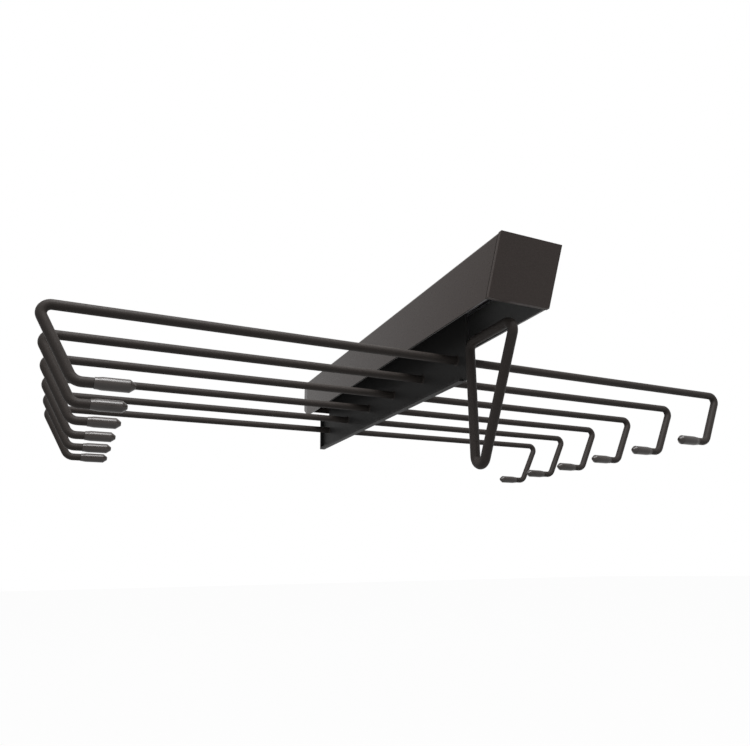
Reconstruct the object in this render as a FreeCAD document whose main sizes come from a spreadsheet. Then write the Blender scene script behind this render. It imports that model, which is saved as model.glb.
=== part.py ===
"""Pull-out trouser rack that hangs under a wardrobe shelf.

A folded steel cover is screwed up under the shelf. A three-member ball runner lies flat inside it
and carries a strip with a vertical blade, a sloping front plate and a wire handle. Six hanger
wires pass through the blade, and each wire ends in two hooks with plastic caps.

Frame, in millimetres: X runs along the hanger wires, Y runs back into the wardrobe and Z is up.
The origin is the middle of the cover's top face, which lies against the shelf.
"""
import FreeCAD, Part
import math
import os

import Sketcher

# ------------------------------------------------------------------ driving dimensions, in mm
SIZES = (
    # cover under the shelf
    ("cover_width", 46.0),
    ("cover_height", 37.0),
    ("cover_length", 359.0),        # from the front plate's top edge to the back of the rear cap
    ("cover_sheet", 1.5),
    ("cover_bend_radius", 2.0),
    ("front_slope_run", 18.0),      # how much further forward the front is at the top
    ("shelf_hole_radius", 2.3),
    ("outer_hole_spacing", 250.0),
    ("inner_hole_spacing", 100.0),
    # front plate, a shallow pan that travels with the rack
    ("plate_sheet", 1.2),
    ("plate_return", 3.0),
    ("plate_gap", 1.0),
    ("plate_overhang", 0.4),
    ("shelf_gap", 0.8),
    # rear cap
    ("rear_cap_depth", 10.0),
    ("rear_cap_drop", 6.5),         # how far its top edge falls towards the back
    ("rear_cap_rise", 7.0),         # how far its bottom edge rises towards the back
    ("rear_cap_wall", 1.6),
    ("tongue_length", 10.0),
    ("tongue_wall", 1.4),
    ("tongue_top", 14.0),
    ("tongue_margin", 1.0),
    # ball runner
    ("runner_setback", 9.0),        # from the cover's top front edge to the runner
    ("runner_rear_gap", 15.0),      # from the runner to the back of the rear cap
    ("runner_width", 35.0),
    ("runner_height", 11.0),
    ("travel", 300.0),
    ("member_web", 1.5),
    ("outer_lip_wall", 2.4),
    ("rail_wall", 3.6),
    ("rail_gap", 0.8),
    ("web_gap", 1.1),
    ("lip_clearance", 0.3),
    ("ball_radius", 1.5),
    ("race_clearance", 0.3),
    ("cage_sheet", 0.4),
    ("cage_end_margin", 12.0),
    ("pocket_clearance", 0.2),
    ("stop_lug_length", 2.0),
    ("stop_lug_width", 8.0),
    ("stop_lug_height", 0.8),
    ("stop_clearance", 0.5),
    ("driver_hole_radius", 4.5),
    ("buffer_width", 24.0),
    ("buffer_gap", 0.3),
    # strip that the blade and the front plate are welded to
    ("strip_width", 20.0),
    ("strip_sheet", 2.0),
    ("strip_rear_gap", 2.0),
    ("tab_depth", 33.0),
    ("screw_radius", 1.75),
    ("screw_head_radius", 3.0),
    ("screw_head_height", 2.0),
    ("screw_offset", 4.4),
    ("screw_spacing", 140.0),
    ("screw_clearance", 0.1),
    # blade
    ("blade_sheet", 2.0),
    ("blade_below_wires", 17.2),
    ("blade_rear_overhang", 1.5),
    ("blade_step_gap", 1.4),
    ("blade_flange", 5.0),
    ("flange_front_gap", 6.0),
    # hanger wires and their caps
    ("wire_diameter", 6.0),
    ("first_wire_setback", 92.0),
    ("last_wire_setback", 17.0),
    ("wire_depth", 52.7),           # from the shelf face down to the wires' axis
    ("wire_half_span", 268.8),
    ("hook_inset", 23.2),
    ("hook_drop", 42.0),
    ("hook_return", 32.2),
    ("hook_top_bend_radius", 5.0),
    ("hook_low_bend_radius", 8.0),
    ("end_cap_length", 21.5),
    ("end_cap_radius", 3.8),
    ("end_cap_wall", 2.0),
    ("end_cap_chamfer", 2.2),
    ("press_clearance", 0.05),
    # wire handle
    ("handle_diameter", 6.6),
    ("handle_depth", 45.0),         # from the shelf face down to the handle's top bar
    ("handle_height", 104.7),
    ("handle_width", 51.8),
    ("handle_rake", 3.0),           # how much further back its tip is than its rear leg's top
    ("handle_setback", 75.1),
    ("handle_top_bend_radius", 6.0),
    ("handle_tip_bend_radius", 6.0),
)
WIRE_COUNT = 6
BALLS_PER_ROW = 7
SCREW_ROWS = 3
SIDES = (("left", -1), ("right", 1))
SAME_PLACE = 0.01                       # how closely an edge is found by its place

doc = FreeCAD.newDocument("trouser_rack")
sheet = doc.addObject("Spreadsheet::Sheet", "Sizes")


class Size:
    """A length that knows its number and the sheet formula that it comes from."""

    def __init__(self, number, formula):
        self.number = number
        self.formula = formula

    def _join(self, other, sign, number):
        return Size(number, f"({self.formula} {sign} {as_size(other).formula})")

    def __add__(self, other):
        return self._join(other, "+", self.number + as_size(other).number)

    def __sub__(self, other):
        return self._join(other, "-", self.number - as_size(other).number)

    def __mul__(self, other):
        return self._join(other, "*", self.number * as_size(other).number)

    def __truediv__(self, other):
        return self._join(other, "/", self.number / as_size(other).number)

    def __neg__(self):
        return Size(-self.number, f"(0 - {self.formula})")

    def __rmul__(self, other):
        return self * other

    def __radd__(self, other):
        return as_size(other) + self

    def __rsub__(self, other):
        return as_size(other) - self


def as_size(value):
    return value if isinstance(value, Size) else Size(float(value), repr(float(value)))


def root(size):
    return Size(math.sqrt(size.number), f"sqrt({size.formula})")


class Names:
    """Holds each driving dimension as an attribute."""


S = Names()
for row, (name, number) in enumerate(SIZES, start=1):
    sheet.set(f"A{row}", name)
    sheet.set(f"B{row}", str(number))
    sheet.setAlias(f"B{row}", name)
    setattr(S, name, Size(number, f"Sizes.{name}"))
doc.recompute()


# ------------------------------------------------------------------ small helpers
def bind(thing, path, size):
    """Ties one property to the sheet."""
    thing.setExpression(path, as_size(size).formula)


def place(thing, x=0, y=0, z=0, half_turn=False):
    """Puts an object at a bound position, turned half round Z if asked."""
    turn = FreeCAD.Rotation(FreeCAD.Vector(0, 0, 1), 180 if half_turn else 0)
    spot = [as_size(value) for value in (x, y, z)]
    thing.Placement = FreeCAD.Placement(FreeCAD.Vector(*[s.number for s in spot]), turn)
    for axis, size in zip("xyz", spot):
        if size.formula != "0.0":
            bind(thing, f"Placement.Base.{axis}", size)


def new_body(name):
    body = doc.addObject("PartDesign::Body", name)
    body.Label = name
    return body


def new_sketch(body, plane, offset=0):
    """Adds a sketch on one of the body's origin planes, moved along the plane's normal."""
    support = next(f for f in body.Origin.OriginFeatures if f.Role == plane)
    sketch = body.newObject("Sketcher::SketchObject", f"{body.Name}_sketch")
    sketch.AttachmentSupport = [(support, "")]
    sketch.MapMode = "FlatFace"
    offset = as_size(offset)
    sketch.AttachmentOffset = FreeCAD.Placement(
        FreeCAD.Vector(0, 0, offset.number), FreeCAD.Rotation()
    )
    if offset.formula != "0.0":
        bind(sketch, "AttachmentOffset.Base.z", offset)
    return sketch


def measure(sketch, kind, size, *where):
    """Adds a constraint whose value follows the sheet."""
    size = as_size(size)
    index = sketch.addConstraint(Sketcher.Constraint(kind, *where, size.number))
    sketch.setExpression(f"Constraints[{index}]", size.formula)


def pin_point(sketch, geometry, end, spot):
    """Holds a point at its two distances from the sketch's origin."""
    for kind, size, axis in (("DistanceX", spot[0], -2), ("DistanceY", spot[1], -1)):
        if as_size(size).formula == "0.0":
            sketch.addConstraint(Sketcher.Constraint("PointOnObject", geometry, end, axis))
        else:
            measure(sketch, kind, size, -1, 1, geometry, end)


def vector(spot):
    return FreeCAD.Vector(as_size(spot[0]).number, as_size(spot[1]).number, 0)


def polygon(sketch, corners):
    """Draws a closed outline of straight lines."""
    points = [vector(corner) for corner in corners]
    lines = [
        sketch.addGeometry(Part.LineSegment(point, points[(i + 1) % len(points)]), False)
        for i, point in enumerate(points)
    ]
    for i, line in enumerate(lines):
        following = lines[(i + 1) % len(lines)]
        sketch.addConstraint(Sketcher.Constraint("Coincident", line, 2, following, 1))
        pin_point(sketch, line, 1, corners[i])


def rounded_path(sketch, corners, radii, closed):
    """Draws straight runs joined by tangent arcs. A radius of None leaves a plain corner."""
    points = [vector(corner) for corner in corners]
    count = len(points)
    starts, ends, arcs = list(points), list(points), {}
    for i in range(count):
        if radii[i] is None:
            continue
        back = (points[i - 1] - points[i]).normalize()
        ahead = (points[(i + 1) % count] - points[i]).normalize()
        half = back.getAngle(ahead) / 2
        radius = radii[i].number
        ends[i] = points[i] + back * (radius / math.tan(half))
        starts[i] = points[i] + ahead * (radius / math.tan(half))
        centre = points[i] + (back + ahead).normalize() * (radius / math.sin(half))
        turns_left = (-back).cross(ahead).z > 0
        first, last = (ends[i], starts[i]) if turns_left else (starts[i], ends[i])
        angles = [math.atan2(p.y - centre.y, p.x - centre.x) for p in (first, last)]
        if angles[1] < angles[0]:
            angles[1] += 2 * math.pi
        circle = Part.Circle(centre, FreeCAD.Vector(0, 0, 1), radius)
        arcs[i] = (Part.ArcOfCircle(circle, *angles), turns_left)
    lines = [
        sketch.addGeometry(Part.LineSegment(starts[i], ends[(i + 1) % count]), False)
        for i in range(count if closed else count - 1)
    ]
    for i in range(count):
        line_in = lines[i - 1] if closed or i > 0 else None
        line_out = lines[i] if i < len(lines) else None
        if radii[i] is None:
            if line_in is not None and line_out is not None:
                sketch.addConstraint(Sketcher.Constraint("Coincident", line_in, 2, line_out, 1))
            line, end = (line_in, 2) if line_out is None else (line_out, 1)
            pin_point(sketch, line, end, corners[i])
            continue
        shape, turns_left = arcs[i]
        arc = sketch.addGeometry(shape, False)
        near, far = (1, 2) if turns_left else (2, 1)
        sketch.addConstraint(Sketcher.Constraint("Tangent", line_in, 2, arc, near))
        sketch.addConstraint(Sketcher.Constraint("Tangent", arc, far, line_out, 1))
        measure(sketch, "Radius", radii[i], arc)
        mark = sketch.addGeometry(Part.Point(points[i]), True)
        sketch.addConstraint(Sketcher.Constraint("PointOnObject", mark, 1, line_in))
        sketch.addConstraint(Sketcher.Constraint("PointOnObject", mark, 1, line_out))
        pin_point(sketch, mark, 1, corners[i])


def circle(sketch, spot, radius):
    index = sketch.addGeometry(
        Part.Circle(vector(spot), FreeCAD.Vector(0, 0, 1), as_size(radius).number), False
    )
    measure(sketch, "Radius", radius, index)
    pin_point(sketch, index, 3, spot)


def pad(body, sketch, length, both_ways=True, reverse=False):
    feature = body.newObject("PartDesign::Pad", f"{body.Name}_pad")
    feature.Profile = sketch
    feature.Midplane = both_ways
    feature.Reversed = reverse
    bind(feature, "Length", length)
    doc.recompute()
    return feature


def pocket(body, sketch, length):
    """Cuts a sketch out of the body both ways and makes sure that it removed something."""
    before = body.Shape.Volume
    feature = body.newObject("PartDesign::Pocket", f"{body.Name}_pocket")
    feature.Profile = sketch
    feature.Midplane = True
    bind(feature, "Length", length)
    doc.recompute()
    if not body.Shape.Volume < before:
        raise RuntimeError(f"{feature.Name} cuts nothing out of {body.Name}")
    return feature


def pipe(body, profile, path):
    feature = body.newObject("PartDesign::AdditivePipe", f"{body.Name}_pipe")
    feature.Profile = profile
    feature.Spine = path
    doc.recompute()
    return feature


def lengthwise_edges(shape, x, z):
    """Names the edges along Y that lie at a distance x either side of the middle, at height z."""
    found = []
    for i, edge in enumerate(shape.Edges, start=1):
        box = edge.BoundBox
        at_height = max(abs(box.ZMin - z), abs(box.ZMax - z)) < SAME_PLACE
        if at_height and box.XLength < SAME_PLACE and abs(abs(box.XMin) - x) < SAME_PLACE:
            found.append(f"Edge{i}")
    return found


# ------------------------------------------------------------------ places worked out from the sizes
def front_y(depth):
    """Y of the front plate's outer face at a depth below the shelf."""
    return -S.cover_length / 2 + S.front_slope_run * depth / S.cover_height


SLOPE_LENGTH = root(
    S.front_slope_run * S.front_slope_run + S.cover_height * S.cover_height
)
ACROSS_SLOPE = SLOPE_LENGTH / S.cover_height      # a thickness across the slope, measured along Y

COVER_BACK = S.cover_length / 2
COVER_STEEL_BACK = COVER_BACK - S.rear_cap_depth
REAR_CAP_BOTTOM = S.cover_height - S.rear_cap_rise
COVER_SETBACK = S.plate_return + S.plate_gap
COVER_INNER_WIDTH = S.cover_width - S.cover_sheet * 2
PLATE_BACK = S.plate_sheet * ACROSS_SLOPE

RUNNER_FRONT = -S.cover_length / 2 + S.runner_setback
RUNNER_REAR = COVER_BACK - S.runner_rear_gap
RUNNER_LENGTH = RUNNER_REAR - RUNNER_FRONT
RUNNER_CENTRE = (RUNNER_FRONT + RUNNER_REAR) / 2
RUNNER_TOP = S.cover_sheet
RUNNER_BOTTOM = RUNNER_TOP + S.runner_height

# half widths of the runner's members, from the outside in
LIP_INSIDE = S.runner_width / 2 - S.outer_lip_wall
MIDDLE_OUTSIDE = LIP_INSIDE - S.rail_gap
MIDDLE_INSIDE = MIDDLE_OUTSIDE - S.rail_wall
INNER_OUTSIDE = MIDDLE_INSIDE - S.rail_gap
INNER_INSIDE = INNER_OUTSIDE - S.rail_wall

# depths of the runner's members below the shelf
OUTER_WEB_BOTTOM = RUNNER_TOP + S.member_web
MIDDLE_TOP = OUTER_WEB_BOTTOM + S.web_gap
MIDDLE_WEB_BOTTOM = MIDDLE_TOP + S.member_web
INNER_TOP = MIDDLE_WEB_BOTTOM + S.web_gap
BALL_DEPTH = (INNER_TOP + RUNNER_BOTTOM) / 2
BALL_ROWS = {"outer": LIP_INSIDE - S.rail_gap / 2, "inner": MIDDLE_INSIDE - S.rail_gap / 2}
RACE_RADIUS = S.ball_radius + S.race_clearance

CAGE_LENGTH = (
    RUNNER_LENGTH - S.travel / 2 - S.stop_lug_length * 2 - S.stop_clearance * 2
)
BALL_SPACING = (CAGE_LENGTH - S.cage_end_margin * 2) / (BALLS_PER_ROW - 1)

STRIP_BOTTOM = RUNNER_BOTTOM + S.strip_sheet
STRIP_REAR = RUNNER_REAR - S.strip_rear_gap

FIRST_WIRE = -S.cover_length / 2 + S.first_wire_setback
WIRE_PITCH = (COVER_BACK - S.last_wire_setback - FIRST_WIRE) / (WIRE_COUNT - 1)
WIRE_RADIUS = S.wire_diameter / 2
HOOK_DEPTH = S.wire_depth + S.hook_drop
HOOK_CORNER = S.wire_half_span - S.hook_inset
CAP_TIP = HOOK_CORNER - S.hook_return
WIRE_END = CAP_TIP + S.end_cap_wall

HANDLE_RADIUS = S.handle_diameter / 2
HANDLE_REAR = -S.cover_length / 2 + S.handle_setback
HANDLE_FRONT = HANDLE_REAR - S.handle_width
HANDLE_TIP = (HANDLE_REAR + S.handle_rake, -(S.handle_depth + S.handle_height))


def wire_y(index):
    return FIRST_WIRE + WIRE_PITCH * index


def handle_edge_y(depth):
    """Y of the blade's front edge, which lies along the back of the handle's rear leg."""
    rake = S.handle_rake * (depth - S.handle_depth) / S.handle_height
    return HANDLE_REAR + rake + HANDLE_RADIUS + S.press_clearance


def shelf_hole_ys():
    return [
        spacing * side / 2
        for spacing in (S.outer_hole_spacing, S.inner_hole_spacing)
        for side in (-1, 1)
    ]


def screw_spots():
    """X and Y of each screw that holds the strip to the runner."""
    middle = (SCREW_ROWS - 1) / 2
    return [
        (S.screw_offset * side, RUNNER_CENTRE + S.screw_spacing * (row - middle))
        for _, side in SIDES
        for row in range(SCREW_ROWS)
    ]


# ------------------------------------------------------------------ the cover and its rear cap
def cover():
    """Folded steel cover, open underneath, with its front cut to the slope of the front plate."""
    body = new_body("cover")
    side = new_sketch(body, "YZ_Plane")
    polygon(side, (
        (front_y(0) + COVER_SETBACK, 0),
        (COVER_STEEL_BACK, 0),
        (COVER_STEEL_BACK, -S.cover_height),
        (front_y(S.cover_height) + COVER_SETBACK, -S.cover_height),
    ))
    pad(body, side, S.cover_width)
    fold_edges(body, S.cover_width / 2, 0, S.cover_bend_radius)
    inside = new_sketch(body, "YZ_Plane")
    polygon(inside, (
        (-S.cover_length, -S.cover_sheet),
        (S.cover_length, -S.cover_sheet),
        (S.cover_length, -S.cover_height * 2),
        (-S.cover_length, -S.cover_height * 2),
    ))
    pocket(body, inside, COVER_INNER_WIDTH)
    fold_edges(body, COVER_INNER_WIDTH / 2, S.cover_sheet, S.cover_bend_radius - S.cover_sheet)
    holes = new_sketch(body, "XY_Plane")
    for y in shelf_hole_ys():
        circle(holes, (0, y), S.shelf_hole_radius)
    pocket(body, holes, S.cover_height)
    return body


def fold_edges(body, half_width, depth, radius):
    """Rounds the two lengthwise edges where the sheet is bent."""
    names = lengthwise_edges(body.Shape, half_width.number, -as_size(depth).number)
    folded = (body.Tip, names)
    feature = body.newObject("PartDesign::Fillet", f"{body.Name}_fold")
    feature.Base = folded
    bind(feature, "Radius", radius)
    doc.recompute()


def rear_cap():
    """Moulded cap on the back end of the cover, open underneath like the cover itself."""
    body = new_body("rear_cap")
    side = new_sketch(body, "YZ_Plane")
    polygon(side, (
        (COVER_STEEL_BACK, 0),
        (COVER_BACK, -S.rear_cap_drop),
        (COVER_BACK, -REAR_CAP_BOTTOM),
        (COVER_STEEL_BACK, -S.cover_height),
    ))
    pad(body, side, S.cover_width)
    inside = new_sketch(body, "YZ_Plane")
    inner_back = COVER_BACK - S.rear_cap_wall
    inner_drop = S.rear_cap_drop * (S.rear_cap_depth - S.rear_cap_wall) / S.rear_cap_depth
    polygon(inside, (
        (COVER_STEEL_BACK, -S.rear_cap_wall),
        (inner_back, -S.rear_cap_wall - inner_drop),
        (inner_back, -S.cover_height * 2),
        (COVER_STEEL_BACK, -S.cover_height * 2),
    ))
    pocket(body, inside, S.cover_width - S.rear_cap_wall * 2)
    tongue = new_sketch(body, "YZ_Plane")
    tongue_bottom = REAR_CAP_BOTTOM - S.tongue_margin
    polygon(tongue, (
        (COVER_STEEL_BACK - S.tongue_length, -S.tongue_top),
        (inner_back, -S.tongue_top),
        (inner_back, -tongue_bottom),
        (COVER_STEEL_BACK - S.tongue_length, -tongue_bottom),
    ))
    tongue_outside = COVER_INNER_WIDTH - S.press_clearance * 2
    pad(body, tongue, tongue_outside)
    between = new_sketch(body, "YZ_Plane")
    polygon(between, (
        (COVER_STEEL_BACK - S.tongue_length * 2, -S.rear_cap_wall - inner_drop),
        (inner_back, -S.rear_cap_wall - inner_drop),
        (inner_back, -S.cover_height * 2),
        (COVER_STEEL_BACK - S.tongue_length * 2, -S.cover_height * 2),
    ))
    pocket(body, between, tongue_outside - S.tongue_wall * 2)
    return body


def closing_buffer():
    """Rubber block on the rear cap that the runner's members stop against when it is closed."""
    body = new_body("closing_buffer")
    side = new_sketch(body, "YZ_Plane")
    front = RUNNER_REAR + S.buffer_gap
    back = COVER_BACK - S.rear_cap_wall
    polygon(side, (
        (front, -BALL_DEPTH + S.ball_radius),
        (back, -BALL_DEPTH + S.ball_radius),
        (back, -RUNNER_BOTTOM),
        (front, -RUNNER_BOTTOM),
    ))
    pad(body, side, S.buffer_width)
    return body


# ------------------------------------------------------------------ the ball runner
def channel_section(sketch, half_width, wall, top, web_bottom, bottom):
    """Outline of a channel that opens downwards."""
    polygon(sketch, (
        (-half_width, -top),
        (half_width, -top),
        (half_width, -bottom),
        (half_width - wall, -bottom),
        (half_width - wall, -web_bottom),
        (-half_width + wall, -web_bottom),
        (-half_width + wall, -bottom),
        (-half_width, -bottom),
    ))


def along_runner(body):
    """A sketch across the runner, at its middle."""
    return new_sketch(body, "XZ_Plane", -RUNNER_CENTRE)


def races(body, *rows):
    """Cuts the grooves that the balls roll in."""
    grooves = along_runner(body)
    for row in rows:
        for _, side in SIDES:
            circle(grooves, (BALL_ROWS[row] * side, -BALL_DEPTH), RACE_RADIUS)
    pocket(body, grooves, RUNNER_LENGTH * 2)


def stop_lug(body, end_y, inwards, top, bottom):
    """Adds the pressed lug that the ball cage meets when the runner is fully out."""
    lug = new_sketch(body, "YZ_Plane")
    other_y = end_y + S.stop_lug_length * inwards
    near, far = (end_y, other_y) if inwards > 0 else (other_y, end_y)
    polygon(lug, ((near, -top), (far, -top), (far, -bottom), (near, -bottom)))
    pad(body, lug, S.stop_lug_width)


def driver_holes(body, shift):
    """Holes that a screwdriver passes through when the runner is fully out."""
    holes = new_sketch(body, "XY_Plane")
    for y in shelf_hole_ys()[::2]:
        circle(holes, (0, y + shift), S.driver_hole_radius)
    pocket(body, holes, S.cover_height)


def outer_member():
    """Outer member, spot-welded to the underside of the cover's roof."""
    body = new_body("runner_outer_member")
    section = along_runner(body)
    channel_section(
        section, S.runner_width / 2, S.outer_lip_wall, RUNNER_TOP, OUTER_WEB_BOTTOM, RUNNER_BOTTOM
    )
    pad(body, section, RUNNER_LENGTH)
    races(body, "outer")
    stop_lug(body, RUNNER_FRONT, 1, RUNNER_TOP, OUTER_WEB_BOTTOM + S.stop_lug_height)
    holes = new_sketch(body, "XY_Plane")
    for y in shelf_hole_ys():
        circle(holes, (0, y), S.shelf_hole_radius)
    pocket(body, holes, S.cover_height)
    return body


def middle_member():
    """Middle member, with a race on the outside and on the inside of each rail."""
    body = new_body("runner_middle_member")
    section = along_runner(body)
    channel_section(
        section, MIDDLE_OUTSIDE, S.rail_wall, MIDDLE_TOP, MIDDLE_WEB_BOTTOM,
        RUNNER_BOTTOM - S.lip_clearance,
    )
    pad(body, section, RUNNER_LENGTH)
    races(body, "outer", "inner")
    stop_lug(body, RUNNER_REAR, -1, MIDDLE_TOP - S.stop_lug_height, MIDDLE_WEB_BOTTOM)
    stop_lug(body, RUNNER_FRONT, 1, MIDDLE_TOP, MIDDLE_WEB_BOTTOM + S.stop_lug_height)
    driver_holes(body, S.travel / 2)
    return body


def inner_member():
    """Inner member, a channel that opens upwards and carries the strip on its web."""
    body = new_body("runner_inner_member")
    section = along_runner(body)
    web_top = RUNNER_BOTTOM - S.member_web
    polygon(section, (
        (-INNER_OUTSIDE, -INNER_TOP),
        (-INNER_INSIDE, -INNER_TOP),
        (-INNER_INSIDE, -web_top),
        (INNER_INSIDE, -web_top),
        (INNER_INSIDE, -INNER_TOP),
        (INNER_OUTSIDE, -INNER_TOP),
        (INNER_OUTSIDE, -RUNNER_BOTTOM),
        (-INNER_OUTSIDE, -RUNNER_BOTTOM),
    ))
    pad(body, section, RUNNER_LENGTH)
    races(body, "inner")
    screw_holes(body)
    return body


def screw_holes(body):
    holes = new_sketch(body, "XY_Plane")
    for spot in screw_spots():
        circle(holes, spot, S.screw_radius + S.screw_clearance)
    pocket(body, holes, S.cover_height)


def ball_cage(row):
    """Bent strip that keeps one pair of ball rows at their spacing."""
    body = new_body(f"{row}_ball_cage")
    half_width = BALL_ROWS[row] + S.cage_sheet / 2
    gap_top = OUTER_WEB_BOTTOM if row == "outer" else MIDDLE_WEB_BOTTOM
    top = gap_top + (S.web_gap - S.cage_sheet) / 2
    section = along_runner(body)
    channel_section(
        section, half_width, S.cage_sheet, top, top + S.cage_sheet,
        RUNNER_BOTTOM - S.lip_clearance * 2,
    )
    pad(body, section, CAGE_LENGTH)
    pockets = new_sketch(body, "YZ_Plane")
    for i in range(BALLS_PER_ROW):
        circle(pockets, (ball_y(i), -BALL_DEPTH), S.ball_radius + S.pocket_clearance)
    pocket(body, pockets, S.runner_width)
    if row == "outer":
        driver_holes(body, S.travel / 4)
    return body


def ball_y(index):
    return RUNNER_CENTRE + BALL_SPACING * (index - (BALLS_PER_ROW - 1) / 2)


def balls(row):
    """The steel balls of one pair of rows."""
    members = []
    for name, side in SIDES:
        for i in range(BALLS_PER_ROW):
            ball = doc.addObject("Part::Sphere", f"{row}_ball_{name}_{i + 1}")
            bind(ball, "Radius", S.ball_radius)
            place(ball, BALL_ROWS[row] * side, ball_y(i), -BALL_DEPTH)
            members.append(ball)
    return group(f"{row}_balls", members)


def group(name, members):
    """One node for identical loose solids."""
    node = doc.addObject("Part::Compound", name)
    node.Label = name
    node.Links = members
    return node


# ------------------------------------------------------------------ what the runner carries
def front_plate():
    """Sloping pan that closes the front of the cover."""
    body = new_body("front_plate")
    bottom = S.cover_height + S.plate_overhang

    def slab(near, far, top, low):
        return (
            (front_y(top) + near, -top),
            (front_y(top) + far, -top),
            (front_y(low) + far, -low),
            (front_y(low) + near, -low),
        )

    outside = new_sketch(body, "YZ_Plane")
    polygon(outside, slab(as_size(0), S.plate_return, S.shelf_gap, bottom))
    outer_width = S.cover_width + S.plate_overhang * 2
    pad(body, outside, outer_width)
    inside = new_sketch(body, "YZ_Plane")
    polygon(inside, slab(
        PLATE_BACK, S.plate_return * 2, S.shelf_gap + S.plate_sheet, bottom - S.plate_sheet
    ))
    pocket(body, inside, outer_width - S.plate_sheet * 2)
    return body


def carrier_strip():
    """Flat strip under the runner, bent down at the front to meet the front plate."""
    body = new_body("carrier_strip")
    side = new_sketch(body, "YZ_Plane")
    tab_inside = PLATE_BACK + S.strip_sheet * ACROSS_SLOPE
    polygon(side, (
        (STRIP_REAR, -RUNNER_BOTTOM),
        (front_y(RUNNER_BOTTOM) + PLATE_BACK, -RUNNER_BOTTOM),
        (front_y(S.tab_depth) + PLATE_BACK, -S.tab_depth),
        (front_y(S.tab_depth) + tab_inside, -S.tab_depth),
        (front_y(STRIP_BOTTOM) + tab_inside, -STRIP_BOTTOM),
        (STRIP_REAR, -STRIP_BOTTOM),
    ))
    pad(body, side, S.strip_width)
    screw_holes(body)
    return body


def strip_screws():
    """Pan-head screws up through the strip into the runner's inner member."""
    members = []
    for i, (x, y) in enumerate(screw_spots(), start=1):
        shank = doc.addObject("Part::Cylinder", f"screw_shank_{i}")
        bind(shank, "Radius", S.screw_radius)
        bind(shank, "Height", S.member_web + S.strip_sheet)
        place(shank, x, y, -STRIP_BOTTOM)
        head = doc.addObject("Part::Cylinder", f"screw_head_{i}")
        bind(head, "Radius", S.screw_head_radius)
        bind(head, "Height", S.screw_head_height)
        place(head, x, y, -STRIP_BOTTOM - S.screw_head_height)
        screw = doc.addObject("Part::MultiFuse", f"strip_screw_{i}")
        screw.Shapes = [shank, head]
        members.append(screw)
    return group("strip_screws", members)


def blade():
    """Upright sheet that holds the hanger wires, folded over at the bottom and the rear."""
    body = new_body("blade")
    bottom = S.wire_depth + S.blade_below_wires
    step = S.cover_height + S.blade_step_gap
    rear = COVER_BACK + S.blade_rear_overhang
    side = new_sketch(body, "YZ_Plane")
    polygon(side, (
        (STRIP_REAR, -STRIP_BOTTOM),
        (STRIP_REAR, -step),
        (rear, -step),
        (rear, -bottom),
        (handle_edge_y(bottom), -bottom),
        (handle_edge_y(STRIP_BOTTOM), -STRIP_BOTTOM),
    ))
    pad(body, side, S.blade_sheet)
    fold = new_sketch(body, "YZ_Plane")
    fold_front = handle_edge_y(bottom) + S.flange_front_gap
    polygon(fold, (
        (fold_front, -bottom),
        (rear, -bottom),
        (rear, -step),
        (rear - S.blade_sheet, -step),
        (rear - S.blade_sheet, -bottom + S.blade_sheet),
        (fold_front, -bottom + S.blade_sheet),
    ))
    pad(body, fold, S.blade_flange - S.blade_sheet / 2, both_ways=False, reverse=True)
    holes = new_sketch(body, "YZ_Plane")
    for i in range(WIRE_COUNT):
        circle(holes, (wire_y(i), -S.wire_depth), WIRE_RADIUS + S.press_clearance)
    pocket(body, holes, S.cover_width)
    return body


def hanger_wire(index):
    """One round wire, hooked down and back in at both ends."""
    body = new_body(f"hanger_wire_{index + 1}")
    path = new_sketch(body, "XZ_Plane")
    half = (
        (WIRE_END, -HOOK_DEPTH),
        (HOOK_CORNER, -HOOK_DEPTH),
        (S.wire_half_span, -S.wire_depth),
    )
    corners = [(-x, z) for x, z in half] + list(reversed(half))
    top_bend, low_bend = S.hook_top_bend_radius, S.hook_low_bend_radius
    bends = (None, low_bend, top_bend, top_bend, low_bend, None)
    rounded_path(path, corners, bends, closed=False)
    profile = new_sketch(body, "YZ_Plane", -WIRE_END)
    circle(profile, (0, -HOOK_DEPTH), WIRE_RADIUS)
    pipe(body, profile, path)
    place(body, y=wire_y(index))
    return body


def end_cap(index, side_name, side):
    """Plastic cap pushed over one end of a hanger wire."""
    body = new_body(f"end_cap_{index + 1}_{side_name}")
    section = new_sketch(body, "XZ_Plane")
    bore = WIRE_RADIUS + S.press_clearance
    floor = S.end_cap_length - S.end_cap_wall
    polygon(section, (
        (0, bore),
        (0, S.end_cap_radius),
        (S.end_cap_length - S.end_cap_chamfer, S.end_cap_radius),
        (S.end_cap_length, S.end_cap_radius - S.end_cap_chamfer),
        (S.end_cap_length, 0),
        (floor, 0),
        (floor, bore),
    ))
    turned = body.newObject("PartDesign::Revolution", f"{body.Name}_turned")
    turned.Profile = section
    turned.ReferenceAxis = (section, ["H_Axis"])
    turned.Angle = 360
    place(
        body, (CAP_TIP + S.end_cap_length) * side, wire_y(index), -HOOK_DEPTH,
        half_turn=side > 0,
    )
    return body


def pull_handle():
    """Wire bent to a closed triangle, welded along the blade's front edge."""
    body = new_body("pull_handle")
    path = new_sketch(body, "YZ_Plane")
    top = -S.handle_depth
    corners = (
        ((HANDLE_REAR + HANDLE_FRONT) / 2, top),
        (HANDLE_FRONT, top),
        HANDLE_TIP,
        (HANDLE_REAR, top),
    )
    top_bend, tip_bend = S.handle_top_bend_radius, S.handle_tip_bend_radius
    rounded_path(path, corners, (None, top_bend, tip_bend, top_bend), closed=True)
    profile = new_sketch(body, "XZ_Plane", -(HANDLE_REAR + HANDLE_FRONT) / 2)
    circle(profile, (0, top), HANDLE_RADIUS)
    pipe(body, profile, path)
    return body


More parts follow.
